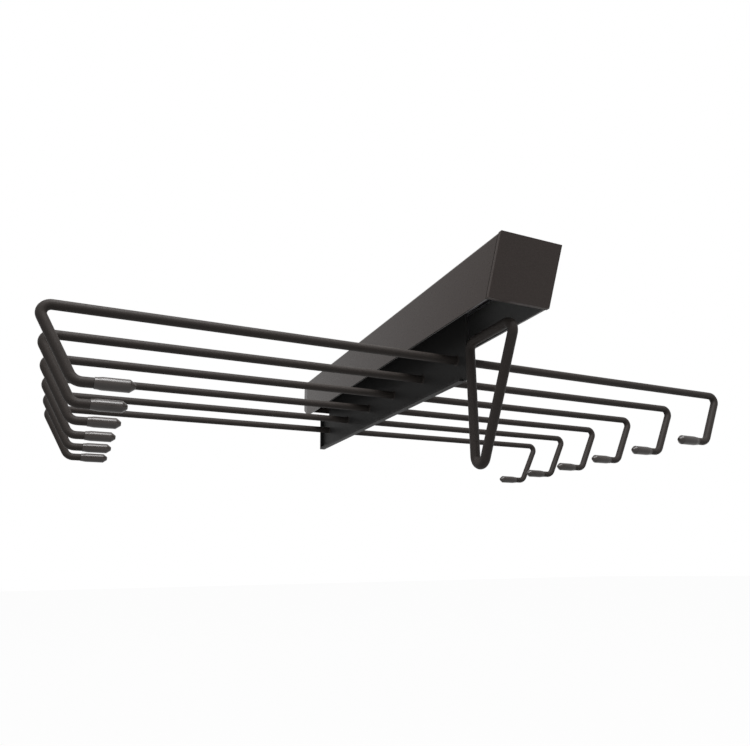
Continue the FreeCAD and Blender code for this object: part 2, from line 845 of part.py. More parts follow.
# ------------------------------------------------------------------ build, check and write
nodes = [cover(), rear_cap(), closing_buffer(), outer_member(), middle_member(), inner_member()]
for row in ("outer", "inner"):
    nodes += [ball_cage(row), balls(row)]
nodes += [front_plate(), carrier_strip(), strip_screws(), blade(), pull_handle()]
for i in range(WIRE_COUNT):
    nodes.append(hanger_wire(i))
    nodes += [end_cap(i, name, side) for name, side in SIDES]
doc.recompute()

for thing in doc.Objects:
    if {"Invalid", "Error"} & set(thing.State):
        raise RuntimeError(f"{thing.Name} did not build: {thing.State}")
for node in nodes:
    if node.Shape.isNull() or not node.Shape.isValid():
        raise RuntimeError(f"{node.Label} has no valid shape")

os.makedirs("parts", exist_ok=True)
for node in nodes:
    node.Shape.exportStep(f"parts/{node.Label}.step")
    print(f"{node.Label}: {len(node.Shape.Solids)} solid(s), {node.Shape.Volume:.1f} mm3")
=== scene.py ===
# %% [markdown]
# # A pull-out trouser rack, dressed around its engineering model
# The rack hangs under a wardrobe shelf. A long folded cover hides a ball runner, and the runner
# carries a blade with six hooked wires and a wire pull handle. The engineering model fixes where
# everything is. This script loads it as a frame and adds smooth wires, moulded caps, weld beads,
# softened sheet edges and a finish for every surface.

# %% Load the frame and keep the size of the engineering model
import math

import bmesh
import bpy
import numpy as np
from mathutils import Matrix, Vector


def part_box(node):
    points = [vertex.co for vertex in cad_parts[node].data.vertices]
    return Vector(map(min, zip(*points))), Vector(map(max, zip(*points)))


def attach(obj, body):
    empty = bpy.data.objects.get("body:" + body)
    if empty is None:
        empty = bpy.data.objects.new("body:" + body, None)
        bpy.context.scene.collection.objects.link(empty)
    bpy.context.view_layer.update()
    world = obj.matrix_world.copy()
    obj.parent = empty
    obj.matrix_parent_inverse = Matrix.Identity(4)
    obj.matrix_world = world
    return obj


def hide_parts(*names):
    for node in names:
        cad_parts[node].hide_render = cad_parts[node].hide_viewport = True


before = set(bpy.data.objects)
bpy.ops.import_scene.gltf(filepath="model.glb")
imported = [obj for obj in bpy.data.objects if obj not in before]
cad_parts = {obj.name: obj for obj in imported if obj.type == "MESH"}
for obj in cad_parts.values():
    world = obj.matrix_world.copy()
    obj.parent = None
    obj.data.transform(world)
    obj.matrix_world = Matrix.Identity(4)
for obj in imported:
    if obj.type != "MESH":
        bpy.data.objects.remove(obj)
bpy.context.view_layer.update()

# %% [markdown]
# ## Sizes that the pieces share
# The frame gives the box of each node, and most places are read from it. A box can't show a bend
# radius, a sheet's thickness or where a bent corner would meet, so those few sizes are written
# once here, in metres. X runs along the wires, Y from the front to the back, and Z up.

# %% Sizes shared by several pieces
MM = 0.001
WIRE_COUNT = 6
HOOK_INSET = 23.2 * MM
HOOK_RETURN = 32.2 * MM
HOOK_TOP_BEND = 5.0 * MM
HOOK_LOW_BEND = 8.0 * MM
CAP_LENGTH = 21.5 * MM
CAP_WALL = 2.0 * MM
HANDLE_WIDTH = 51.8 * MM
HANDLE_SETBACK = 75.1 * MM
HANDLE_RAKE = 3.0 * MM
HANDLE_DROP = 104.7 * MM
HANDLE_TOP_BEND = 6.0 * MM
HANDLE_TIP_BEND = 6.0 * MM
COVER_SHEET = 1.5 * MM
BLADE_SHEET = 2.0 * MM
SIDES = (("left", -1), ("right", 1))

wire_low, wire_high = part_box("hanger_wire_1")
WIRE_RADIUS = (wire_high.y - wire_low.y) / 2
WIRE_Z = wire_high.z - WIRE_RADIUS
HOOK_Z = wire_low.z + WIRE_RADIUS
cap_low, cap_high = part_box("end_cap_1_right")
CAP_RADIUS = (cap_high.y - cap_low.y) / 2
CAP_TIP_X = cap_low.x
HOOK_CORNER_X = CAP_TIP_X + HOOK_RETURN
HALF_SPAN = HOOK_CORNER_X + HOOK_INSET
BLADE_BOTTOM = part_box("blade")[0].z
handle_low, handle_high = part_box("pull_handle")
HANDLE_RADIUS = (handle_high.x - handle_low.x) / 2
HANDLE_TOP_Z = handle_high.z - HANDLE_RADIUS
COVER_HALF_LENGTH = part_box("rear_cap")[1].y
COVER_HALF_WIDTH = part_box("cover")[1].x
HANDLE_REAR_Y = HANDLE_SETBACK - COVER_HALF_LENGTH
HANDLE_FRONT_Y = HANDLE_REAR_Y - HANDLE_WIDTH
print("half span of a wire:", round(HALF_SPAN / MM, 1), "mm")
print("wire and handle radius:", round(WIRE_RADIUS / MM, 2), round(HANDLE_RADIUS / MM, 2), "mm")


def wire_y(index):
    """Y of a hanger wire's axis, the middle of its node's box."""
    low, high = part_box(f"hanger_wire_{index + 1}")
    return (low.y + high.y) / 2


# %% [markdown]
# ## Camera
# The rack is seen from below and from the front left, the way someone sees it who is about to hang
# trousers on it. The lens is short, because the real thing is looked at from an arm's length. Lens
# and sensor are in millimetres and the turns in degrees, where a tilt of 90 would look level.

# %% Camera
LENS = 30.733
SENSOR_WIDTH = 36.0
NEAREST_SEEN = 10 * MM
CAMERA_PLACE = (-0.2404, -0.4545, -0.1954)
CAMERA_TILT = 107.2357
CAMERA_ROLL = 0.9914
CAMERA_HEADING = -25.1771
camera_data = bpy.data.cameras.new("camera")
camera_data.lens = LENS
camera_data.sensor_width = SENSOR_WIDTH
camera_data.clip_start = NEAREST_SEEN
camera = bpy.data.objects.new("camera", camera_data)
camera.location = CAMERA_PLACE
camera.rotation_euler = [
    math.radians(angle) for angle in (CAMERA_TILT, CAMERA_ROLL, CAMERA_HEADING)
]
bpy.context.scene.collection.objects.link(camera)
bpy.context.scene.camera = camera
print("camera looks up by", round(CAMERA_TILT - 90, 1), "degrees")

# %% [markdown]
# ## Floor, background and lamps
# A plain white floor lies under the rack. To the camera and in reflections the world is white, and
# as a light it is dimmer, so that the dark coat keeps its depth. A large soft lamp hangs above the
# front and draws a line of light along the top of each wire. A small one is close to the left
# hooks, so that they come forward.

# %% World
def math_node(tree, operation, first, second):
    """The result of one operation on two values, where the second may be a plain number."""
    step = tree.nodes.new("ShaderNodeMath")
    step.operation = operation
    tree.links.new(first, step.inputs[0])
    if isinstance(second, float):
        step.inputs[1].default_value = second
    else:
        tree.links.new(second, step.inputs[1])
    return step.outputs[0]


def seen_directly(tree, low, high):
    """A value that is high for rays that show the surroundings as they look, else low.

    Those rays come from the camera, from a reflection or through something clear.
    """
    rays = tree.nodes.new("ShaderNodeLightPath")
    seen = rays.outputs["Is Camera Ray"]
    for kind in ("Is Glossy Ray", "Is Transmission Ray"):
        seen = math_node(tree, "MAXIMUM", seen, rays.outputs[kind])
    level = tree.nodes.new("ShaderNodeMapRange")
    level.inputs["To Min"].default_value = low
    level.inputs["To Max"].default_value = high
    tree.links.new(seen, level.inputs["Value"])
    return level.outputs["Result"]


WORLD_AS_LIGHT = 0.40
WORLD_AS_SEEN = 1.0
world = bpy.data.worlds.new("studio")
world.use_nodes = True
bpy.context.scene.world = world
background = world.node_tree.nodes["Background"]
background.inputs["Color"].default_value = (1, 1, 1, 1)
world.node_tree.links.new(
    seen_directly(world.node_tree, WORLD_AS_LIGHT, WORLD_AS_SEEN), background.inputs["Strength"]
)
bpy.context.scene.view_settings.view_transform = "Standard"
print("world as a light:", WORLD_AS_LIGHT, "and as a background:", WORLD_AS_SEEN)


# %% Lamps
def soft_lamp(name, place, aim, width, watts):
    """A square area lamp at place that faces aim."""
    lamp = bpy.data.lights.new(name, "AREA")
    lamp.size = width
    lamp.energy = watts
    holder = bpy.data.objects.new(name, lamp)
    holder.location = place
    holder.rotation_euler = (Vector(aim) - Vector(place)).to_track_quat("-Z", "Y").to_euler()
    bpy.context.scene.collection.objects.link(holder)


KEY_WATTS = 16.0
SIDE_WATTS = 2.0
soft_lamp(
    "key_lamp", place=(-0.10, -0.50, 0.95), aim=(0, 0, -0.05), width=0.8, watts=KEY_WATTS
)
soft_lamp(
    "side_lamp", place=(-0.30, -0.30, 0.45), aim=(-0.20, 0, -0.05), width=0.3, watts=SIDE_WATTS
)
print("key lamp:", KEY_WATTS, "W, side lamp:", SIDE_WATTS, "W")


# %% Floor
FLOOR_Z = -0.30
FLOOR_REACH = 6.0
FLOOR_PAINT = 0.4
FLOOR_PLAIN_SHARE = 0.97


def floor_finish():
    """White paint. To the camera most of it is plain white, and the rest takes the shadow."""
    material = bpy.data.materials.new("floor_white")
    material.use_nodes = True
    nodes, links = material.node_tree.nodes, material.node_tree.links
    nodes.clear()
    out = nodes.new("ShaderNodeOutputMaterial")
    paint = nodes.new("ShaderNodeBsdfDiffuse")
    paint.inputs["Color"].default_value = (FLOOR_PAINT, FLOOR_PAINT, FLOOR_PAINT, 1)
    glow = nodes.new("ShaderNodeEmission")
    mix = nodes.new("ShaderNodeMixShader")
    links.new(seen_directly(material.node_tree, 0.0, FLOOR_PLAIN_SHARE), mix.inputs[0])
    links.new(paint.outputs[0], mix.inputs[1])
    links.new(glow.outputs[0], mix.inputs[2])
    links.new(mix.outputs[0], out.inputs["Surface"])
    return material


floor_corners = [
    (x * FLOOR_REACH, y * FLOOR_REACH, FLOOR_Z) for x, y in ((-1, -1), (1, -1), (1, 1), (-1, 1))
]
floor_mesh = bpy.data.meshes.new("floor")
floor_mesh.from_pydata(floor_corners, [], [(0, 1, 2, 3)])
floor = bpy.data.objects.new("floor", floor_mesh)
floor_mesh.materials.append(floor_finish())
bpy.context.scene.collection.objects.link(floor)

# %% [markdown]
# ## Finishes
# The steel is powder coated in a warm dark brown. Powder that melts in an oven leaves a skin with
# a soft orange-peel ripple about a millimetre wide, and tiny grains in it. Both come from noise on
# Object coordinates, which are the same metres as the model, so a scale of 850 gives ripples a
# little over a millimetre wide. The bump follows the ripple, and the roughness varies with it.


# %% Helpers for noise-driven finishes
NOISE_LOW = 0.3
NOISE_HIGH = 0.7


def new_finish(name):
    """A material with its main shader and the object's own coordinates."""
    material = bpy.data.materials.new(name)
    material.use_nodes = True
    nodes = material.node_tree.nodes
    shader = nodes["Principled BSDF"]
    place = nodes.new("ShaderNodeTexCoord").outputs["Object"]
    return material, shader, place


def noise(material, place, scale, detail, stretch=None):
    """A noise pattern with a scale in cycles per metre, drawn out along an axis by stretch."""
    nodes, links = material.node_tree.nodes, material.node_tree.links
    if stretch is not None:
        mapping = nodes.new("ShaderNodeMapping")
        mapping.inputs["Scale"].default_value = stretch
        links.new(place, mapping.inputs["Vector"])
        place = mapping.outputs["Vector"]
    pattern = nodes.new("ShaderNodeTexNoise")
    pattern.inputs["Scale"].default_value = scale
    pattern.inputs["Detail"].default_value = detail
    links.new(place, pattern.inputs["Vector"])
    return pattern.outputs["Fac"]


def spread(material, value, low, high):
    """Turns a noise value, which hardly leaves NOISE_LOW to NOISE_HIGH, into low to high."""
    nodes, links = material.node_tree.nodes, material.node_tree.links
    ranged = nodes.new("ShaderNodeMapRange")
    ranged.inputs["From Min"].default_value = NOISE_LOW
    ranged.inputs["From Max"].default_value = NOISE_HIGH
    ranged.inputs["To Min"].default_value = low
    ranged.inputs["To Max"].default_value = high
    links.new(value, ranged.inputs["Value"])
    return ranged.outputs["Result"]


def two_tone(material, value, dark, light):
    """A colour that goes from dark to light with the value."""
    nodes, links = material.node_tree.nodes, material.node_tree.links
    ramp = nodes.new("ShaderNodeValToRGB")
    ramp.color_ramp.elements[0].position = NOISE_LOW
    ramp.color_ramp.elements[0].color = (*dark, 1)
    ramp.color_ramp.elements[1].position = NOISE_HIGH
    ramp.color_ramp.elements[1].color = (*light, 1)
    links.new(value, ramp.inputs["Fac"])
    return ramp.outputs["Color"]


def bump(material, shader, value, strength, distance):
    """Raises and lowers the skin with the value, by distance in metres."""
    nodes, links = material.node_tree.nodes, material.node_tree.links
    skin = nodes.new("ShaderNodeBump")
    skin.inputs["Strength"].default_value = strength
    skin.inputs["Distance"].default_value = distance
    links.new(value, skin.inputs["Height"])
    links.new(skin.outputs["Normal"], shader.inputs["Normal"])


# %% [markdown]
# Inside the cover the coat is painted a lighter neutral grey. It stands in for light bounced up
# from below into the channel, so it is painted fill light. The border is found from Object
# coordinates: it runs in the middle of the sheet, so that every outer face keeps its coat.


# %% Painted fill light inside the cover
# a lighter grey painted inside the cover, which stands in for light bounced up from below
INSIDE_FILL_LIGHT_GREY = 0.17


def painted_fill_light_within(material, place, colour, half_width, depth):
    """Painted fill light: a lighter grey where |x| < half_width and z < -depth, and the given
    colour elsewhere.
    """
    tree = material.node_tree
    parts = tree.nodes.new("ShaderNodeSeparateXYZ")
    tree.links.new(place, parts.inputs["Vector"])
    from_middle = math_node(tree, "ABSOLUTE", parts.outputs["X"], 0.0)
    between_walls = math_node(tree, "LESS_THAN", from_middle, half_width)
    below_top = math_node(tree, "LESS_THAN", parts.outputs["Z"], -depth)
    mix = tree.nodes.new("ShaderNodeMix")
    mix.data_type = "RGBA"
    sockets = {socket.identifier: socket for socket in [*mix.inputs, *mix.outputs]}
    tree.links.new(
        math_node(tree, "MULTIPLY", between_walls, below_top), sockets["Factor_Float"]
    )
    tree.links.new(colour, sockets["A_Color"])
    sockets["B_Color"].default_value = (INSIDE_FILL_LIGHT_GREY, INSIDE_FILL_LIGHT_GREY, INSIDE_FILL_LIGHT_GREY, 1)
    return sockets["Result_Color"]


# %% Powder coats of the cover, the blade and the wires
GRAIN_SCALE = 1900.0
RIPPLE_SCALE = 850.0
RIPPLE_STRENGTH = 0.25
RIPPLE_HEIGHT = 0.06 * MM


def powder_coat(name, dark, light, roughness, gloss, inside=None):
    """Baked powder: grains in the colour, a rippled skin and a roughness that varies with it.

    Where inside is a (half width, depth) pair, the space it bounds is painted a lighter grey as
    fill light.
    """
    material, shader, place = new_finish(name)
    links = material.node_tree.links
    grain = noise(material, place, GRAIN_SCALE, detail=5.0)
    ripple = noise(material, place, RIPPLE_SCALE, detail=2.0)
    colour = two_tone(material, grain, dark, light)
    if inside is not None:
        # painted fill light: the inside of the cover gets a lighter grey
        colour = painted_fill_light_within(material, place, colour, *inside)
    links.new(colour, shader.inputs["Base Color"])
    links.new(spread(material, ripple, *roughness), shader.inputs["Roughness"])
    shader.inputs["Specular IOR Level"].default_value = gloss
    bump(material, shader, ripple, RIPPLE_STRENGTH, RIPPLE_HEIGHT)
    return material


cover_coat = powder_coat(
    "cover_powder_coat", dark=(0.027, 0.0197, 0.0168), light=(0.041, 0.0310, 0.0273),
    roughness=(0.26, 0.34), gloss=0.17,
    # the bounds of the painted fill light inside the cover
    inside=(COVER_HALF_WIDTH - COVER_SHEET / 2, COVER_SHEET / 2),
)
plate_coat = powder_coat(
    "plate_powder_coat", dark=(0.042, 0.0335, 0.0305), light=(0.063, 0.0515, 0.0475),
    roughness=(0.40, 0.50), gloss=0.14,
)
wire_coat = powder_coat(
    "wire_powder_coat", dark=(0.024, 0.0202, 0.0183), light=(0.037, 0.0316, 0.0290),
    roughness=(0.48, 0.58), gloss=0.11,
)
blade_coat = powder_coat(
    "blade_powder_coat", dark=(0.024, 0.0236, 0.0233), light=(0.036, 0.0355, 0.0352),
    roughness=(0.42, 0.52), gloss=0.05,
)
print("coats:", [coat.name for coat in (cover_coat, plate_coat, wire_coat, blade_coat)])

# %% [markdown]
# The end caps, the rear cap and the rubber buffer are moulded. A mould leaves an even, finely
# sparked skin, so their grain is finer and softer than the powder coat's. The plastic shines a
# little more than the coat, and the rubber is dull.


# %% Moulded plastic and rubber
SPARK_STRENGTH = 0.05
SPARK_HEIGHT = 0.03 * MM
MOULDED_CLOUD_SCALE = 60.0


def moulded(name, dark, light, roughness, gloss, grain_scale):
    """Moulded skin: a fine spark-worn grain in the bump, and hardly any change of colour."""
    material, shader, place = new_finish(name)
    links = material.node_tree.links
    grain = noise(material, place, grain_scale, detail=2.0)
    cloud = noise(material, place, MOULDED_CLOUD_SCALE, detail=2.0)
    links.new(two_tone(material, cloud, dark, light), shader.inputs["Base Color"])
    links.new(spread(material, grain, *roughness), shader.inputs["Roughness"])
    shader.inputs["Specular IOR Level"].default_value = gloss
    bump(material, shader, grain, SPARK_STRENGTH, SPARK_HEIGHT)
    return material


cap_plastic = moulded(
    "cap_plastic", dark=(0.028, 0.0226, 0.0202), light=(0.040, 0.0330, 0.0297),
    roughness=(0.22, 0.30), gloss=0.40, grain_scale=2600.0,
)
buffer_rubber = moulded(
    "buffer_rubber", dark=(0.012, 0.012, 0.012), light=(0.020, 0.020, 0.020),
    roughness=(0.65, 0.80), gloss=0.30, grain_scale=3500.0,
)
print("moulded finishes:", cap_plastic.name, "and", buffer_rubber.name)

# %% [markdown]
# The runner is rolled from zinc-plated strip. Rolling draws every mark out along the strip, so its
# noise is stretched along Y, the way the runner runs. The cages and screws take the same finish in
# other greys. The balls are ground bright, and their low roughness hides the marks.


# %% Zinc, spring steel and ground steel
MARK_SCALE = 1500.0
MARK_STRETCH = (1, 0.02, 1)
MARK_STRENGTH = 0.15
MARK_HEIGHT = 0.03 * MM
PLATING_SCALE = 90.0


def rolled_metal(name, dark, light, roughness):
    """Plated strip: long faint rolling marks in the roughness, and cloudy plating in the colour."""
    material, shader, place = new_finish(name)
    links = material.node_tree.links
    marks = noise(material, place, MARK_SCALE, detail=4.0, stretch=MARK_STRETCH)
    cloud = noise(material, place, PLATING_SCALE, detail=4.0)
    links.new(two_tone(material, cloud, dark, light), shader.inputs["Base Color"])
    links.new(spread(material, marks, *roughness), shader.inputs["Roughness"])
    shader.inputs["Metallic"].default_value = 1.0
    bump(material, shader, marks, MARK_STRENGTH, MARK_HEIGHT)
    return material


runner_zinc = rolled_metal(
    "runner_zinc", dark=(0.50, 0.51, 0.52), light=(0.62, 0.63, 0.64), roughness=(0.28, 0.44)
)
cage_steel = rolled_metal(
    "cage_steel", dark=(0.40, 0.39, 0.38), light=(0.52, 0.51, 0.49), roughness=(0.30, 0.40)
)
ball_steel = rolled_metal(
    "ball_steel", dark=(0.68, 0.68, 0.68), light=(0.74, 0.74, 0.74), roughness=(0.08, 0.14)
)
screw_zinc = rolled_metal(
    "screw_zinc", dark=(0.46, 0.46, 0.45), light=(0.60, 0.60, 0.59), roughness=(0.25, 0.38)
)
print("metals:", [metal.name for metal in (runner_zinc, cage_steel, ball_steel, screw_zinc)])

# %% [markdown]
# ## From a grid of points to a piece
# Most pieces here are a surface with two directions: rings that follow one another, and points
# around each ring. One helper turns such an array into a closed mesh. Where the rings end in a
# pole, a single point closes them, so no seam or hole is left.


# %% Helper that builds a closed skin
def skin(name, rings, finish, slot, body, joined=False):
    """Mesh from rings[i, j] = point j of ring i.

    Each quad joins (i, j), (i, j+1), (i+1, j+1), (i+1, j), with j counted round the ring. The
    first and last rings are closed by their own middle point, or joined to each other.
    """
    count, around = rings.shape[:2]
    here = np.arange(around)
    after = np.roll(here, -1)
    steps = np.arange(count if joined else count - 1)[:, None]
    following = (steps + 1) % count
    quads = np.stack([
        steps * around + here, steps * around + after,
        following * around + after, following * around + here,
    ], axis=-1).reshape(-1, 4)
    points = rings.reshape(-1, 3)
    faces = quads.tolist()
    if not joined:
        ends = np.stack([rings[0].mean(axis=0), rings[-1].mean(axis=0)])
        first, last = len(points), len(points) + 1
        tail = (count - 1) * around
        points = np.concatenate([points, ends])
        faces += np.stack([after, here, np.full(around, first)], axis=-1).tolist()
        faces += np.stack([tail + here, tail + after, np.full(around, last)], axis=-1).tolist()
    mesh = bpy.data.meshes.new(name)
    mesh.from_pydata(points.tolist(), [], faces)
    mesh.shade_smooth()
    return add_piece(name, mesh, finish, body)


def add_piece(name, mesh, finish, body):
    """Puts a mesh in the scene with its finish, and lets it ride on its body."""
    mesh.update()
    mesh.validate()
    piece = bpy.data.objects.new(name, mesh)
    bpy.context.scene.collection.objects.link(piece)
    mesh.materials.append(finish)
    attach(piece, body)
    return piece


# %% [markdown]
# ## Bent wire
# A wire is bent round a former, so every corner is an arc between two straight runs. The route is
# worked out first, as points with the direction of the wire at each. Then a circle is carried
# along it. All routes here are flat, so the circle can't twist.


# %% Route with rounded corners
def bent_route(corners, radii, closed=False, arc_points=14):
    """Points and directions along a route whose corners are arcs.

    At a corner where the wire turns by t, the arc starts r*tan(t/2) before it. Its points are
    start + r*sin(a)*ahead + r*(1 - cos(a))*inward, with a from 0 to t.
    """
    corners = np.asarray(corners, float)
    count = len(corners)
    places, headings = [], []
    for i in range(count):
        ahead = corners[i] - corners[i - 1]
        onward = corners[(i + 1) % count] - corners[i]
        ahead, onward = ahead / np.linalg.norm(ahead), onward / np.linalg.norm(onward)
        if not closed and i in (0, count - 1):
            places.append(corners[i][None])
            headings.append((onward if i == 0 else ahead)[None])
            continue
        turn = math.acos(np.clip(ahead @ onward, -1, 1))
        inward = onward - ahead * (ahead @ onward)
        inward /= np.linalg.norm(inward)
        start = corners[i] - ahead * radii[i] * math.tan(turn / 2)
        angle = np.linspace(0, turn, arc_points)[:, None]
        places.append(start + radii[i] * (np.sin(angle) * ahead + (1 - np.cos(angle)) * inward))
        headings.append(np.cos(angle) * ahead + np.sin(angle) * inward)
    return np.concatenate(places), np.concatenate(headings)


def round_bar(places, headings, across, radii, sides=32):
    """Rings round a flat route: place + r*(cos(u)*side + sin(u)*across).

    The side is at right angles to both: side = across x heading.
    """
    around = np.linspace(0, 2 * math.pi, sides, endpoint=False)[None, :, None]
    across = np.asarray(across, float)
    side = np.cross(across, headings)[:, None, :]
    return places[:, None, :] + np.asarray(radii).reshape(-1, 1, 1) * (
        np.cos(around) * side + np.sin(around) * across
    )


def domed_ends(places, headings, radius, rounding, steps=5):
    """Adds short rings at both ends, so that a cut end has a rounded rim.

    The ring at angle a lies r*(1 - sin(a)) inside the end, with radius R - r*(1 - cos(a)).
    """
    angle = np.linspace(0, math.pi / 2, steps)
    inside, smaller = rounding * (1 - np.sin(angle)), rounding * (1 - np.cos(angle))
    start = places[0] + headings[0] * inside[::-1, None]
    end = places[-1] - headings[-1] * inside[:, None]
    route = np.concatenate([start, places[1:-1], end])
    facing = np.concatenate([
        np.repeat(headings[:1], steps, 0), headings[1:-1], np.repeat(headings[-1:], steps, 0)
    ])
    radii = np.concatenate([
        radius - smaller[::-1], np.full(len(places) - 2, radius), radius - smaller
    ])
    return route, facing, radii


# %% [markdown]
# ## Six hanger wires
# Each wire is one length of round steel that passes through the blade. At both ends it is bent down
# and back in, so that trousers can't slide off. The upper bend is the tighter one. The wire's ends
# lie inside the caps and are only slightly rounded, as a cut end is.


# %% Hanger wires
CUT_ROUNDING = 0.5 * MM
for index in range(WIRE_COUNT):
    half = [(CAP_TIP_X + CAP_WALL, HOOK_Z), (HOOK_CORNER_X, HOOK_Z), (HALF_SPAN, WIRE_Z)]
    corners = [(-x, wire_y(index), z) for x, z in half]
    corners += [(x, wire_y(index), z) for x, z in reversed(half)]
    bends = [0, HOOK_LOW_BEND, HOOK_TOP_BEND, HOOK_TOP_BEND, HOOK_LOW_BEND, 0]
    route = bent_route(corners, bends)
    places, headings, radii = domed_ends(*route, WIRE_RADIUS, CUT_ROUNDING)
    wire = skin(
        f"bent_wire_{index + 1}", round_bar(places, headings, (0, 1, 0), radii),
        wire_coat, "wire_coat", "carriage",
    )
    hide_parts(f"hanger_wire_{index + 1}")
print("wires:", WIRE_COUNT, "with", len(wire.data.polygons), "faces each")

# %% [markdown]
# ## Twelve end caps
# A cap is a turned shape, so its outline is drawn once as distance from its mouth against radius,
# and carried round the wire's axis. Its mouth swells smoothly from a thin lip to the full radius,
# and its tip is a blunt cone, which goes into the next trouser leg without catching. Only the
# start of the bore is drawn, because the wire fills the rest. The outline is mirrored for the
# right-hand caps, so their rings are read the other way round to keep the faces outwards.


# %% Helpers for turned shapes, and the sizes of an end cap
def arc(middle_x, middle_r, radius, start, end, count):
    """Points (middle_x + radius*cos(a), middle_r + radius*sin(a)), a from start to end degrees."""
    angle = np.radians(np.linspace(start, end, count))
    return np.stack([
        middle_x + radius * np.cos(angle), middle_r + radius * np.sin(angle)
    ], axis=-1)


def turned_shape(outline, centre, sides=36):
    """Rings about the X axis: (x, y + r*cos(u), z + r*sin(u)) for each (x, r) of the outline."""
    around = np.linspace(0, 2 * math.pi, sides, endpoint=False)
    x, r = outline[:, :1], outline[:, 1:]
    return np.stack([
        centre[0] + x + 0 * around, centre[1] + r * np.cos(around), centre[2] + r * np.sin(around)
    ], axis=-1)


def swelling(start, end, low, high, count=9):
    """Outline points from radius low to high: low + (high - low)*(3t^2 - 2t^3), t from 0 to 1."""
    t = np.linspace(0, 1, count)
    return np.stack([
        start + (end - start) * t, low + (high - low) * (3 * t ** 2 - 2 * t ** 3)
    ], axis=-1)


BORE_CLEARANCE = 0.02 * MM
BORE_DEPTH = 1.5 * MM
BORE_FLOOR = 0.4 * MM
LIP_WALL = 0.35 * MM
LIP_MIDDLE = 0.17 * MM
LIP_START = 0.2 * MM
SWELL_START = 0.6 * MM
SWELL_END = 4.5 * MM
CONE_LENGTH = 3.2 * MM
SHOULDER_SETBACK = 0.2 * MM
SHOULDER_ROUNDING = 0.6 * MM
NOSE_RADIUS = 1.3 * MM
NOSE_ROUNDING = 0.6 * MM
NOSE_INSET = NOSE_ROUNDING * 0.4
NOSE_FLAT = 0.3 * MM

# %% Outline of an end cap
bore = WIRE_RADIUS + BORE_CLEARANCE
shoulder = CAP_LENGTH - CONE_LENGTH
cone_angle = math.degrees(math.atan2(CAP_RADIUS - NOSE_RADIUS, CONE_LENGTH))
cap_outline = np.concatenate([
    [(BORE_DEPTH, BORE_FLOOR), (BORE_DEPTH, bore), (LIP_START, bore)],
    arc(LIP_MIDDLE, bore + LIP_WALL / 2, LIP_WALL / 2, 270, 90, 6),
    swelling(SWELL_START, SWELL_END, bore + LIP_WALL, CAP_RADIUS),
    arc(
        shoulder - SHOULDER_SETBACK, CAP_RADIUS - SHOULDER_ROUNDING, SHOULDER_ROUNDING,
        90, 90 - cone_angle, 4,
    ),
    arc(
        CAP_LENGTH - NOSE_ROUNDING, NOSE_RADIUS - NOSE_INSET, NOSE_ROUNDING,
        90 - cone_angle, 0, 5,
    ),
    [(CAP_LENGTH, NOSE_FLAT)],
])
print("cap outline:", len(cap_outline), "points, cone at", round(cone_angle), "degrees")

# %% End caps on all the wires
for index in range(WIRE_COUNT):
    for side_name, side in SIDES:
        mouth = (side * (CAP_TIP_X + CAP_LENGTH), wire_y(index), HOOK_Z)
        rings = turned_shape(cap_outline * (-side, 1), mouth)
        cap = skin(
            f"moulded_cap_{index + 1}_{side_name}", rings if side < 0 else rings[:, ::-1],
            cap_plastic, "cap_plastic", "carriage",
        )
        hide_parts(f"end_cap_{index + 1}_{side_name}")
print("caps:", WIRE_COUNT * 2, "radius", round(CAP_RADIUS / MM, 2), "mm")

# %% [markdown]
# ## Pull handle
# The handle is the same kind of bent wire, closed to a narrow triangle that points down. Its rear
# leg stands along the blade's front edge, and its top bar runs forward just below the cover.

# %% Pull handle
tip = (0, HANDLE_REAR_Y + HANDLE_RAKE, HANDLE_TOP_Z - HANDLE_DROP)
places, headings = bent_route(
    [(0, HANDLE_REAR_Y, HANDLE_TOP_Z), (0, HANDLE_FRONT_Y, HANDLE_TOP_Z), tip],
    [HANDLE_TOP_BEND, HANDLE_TOP_BEND, HANDLE_TIP_BEND], closed=True, arc_points=20,
)
handle = skin(
    "bent_handle", round_bar(places, headings, (1, 0, 0), np.full(len(places), HANDLE_RADIUS)),
    wire_coat, "wire_coat", "carriage", joined=True,
)
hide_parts("pull_handle")
print("handle reaches down to", round(min(v.co.z for v in handle.data.vertices) / MM, 1), "mm")

# %% [markdown]
# ## Folded sheets with soft edges
# A sheared and powder-coated edge is never sharp: the powder rounds it by a few tenths of a
# millimetre, and that narrow round is what catches the light. The engineering model already has
# these sheets right, with their punched holes, so a copy is merged, its flat faces are joined, and
# a Bevel modifier rounds the edges. A Weighted Normal modifier then lets the large faces rule the
# shading, so that they look flat right up to a round. The result is kept as a plain mesh.


# %% Soft-edged copies of the sheet parts
SAME_CORNER = 0.002 * MM
FLAT_WITHIN = math.radians(0.4)
SHARP_ABOVE = math.radians(35)
LARGE_FACE_WEIGHT = 80


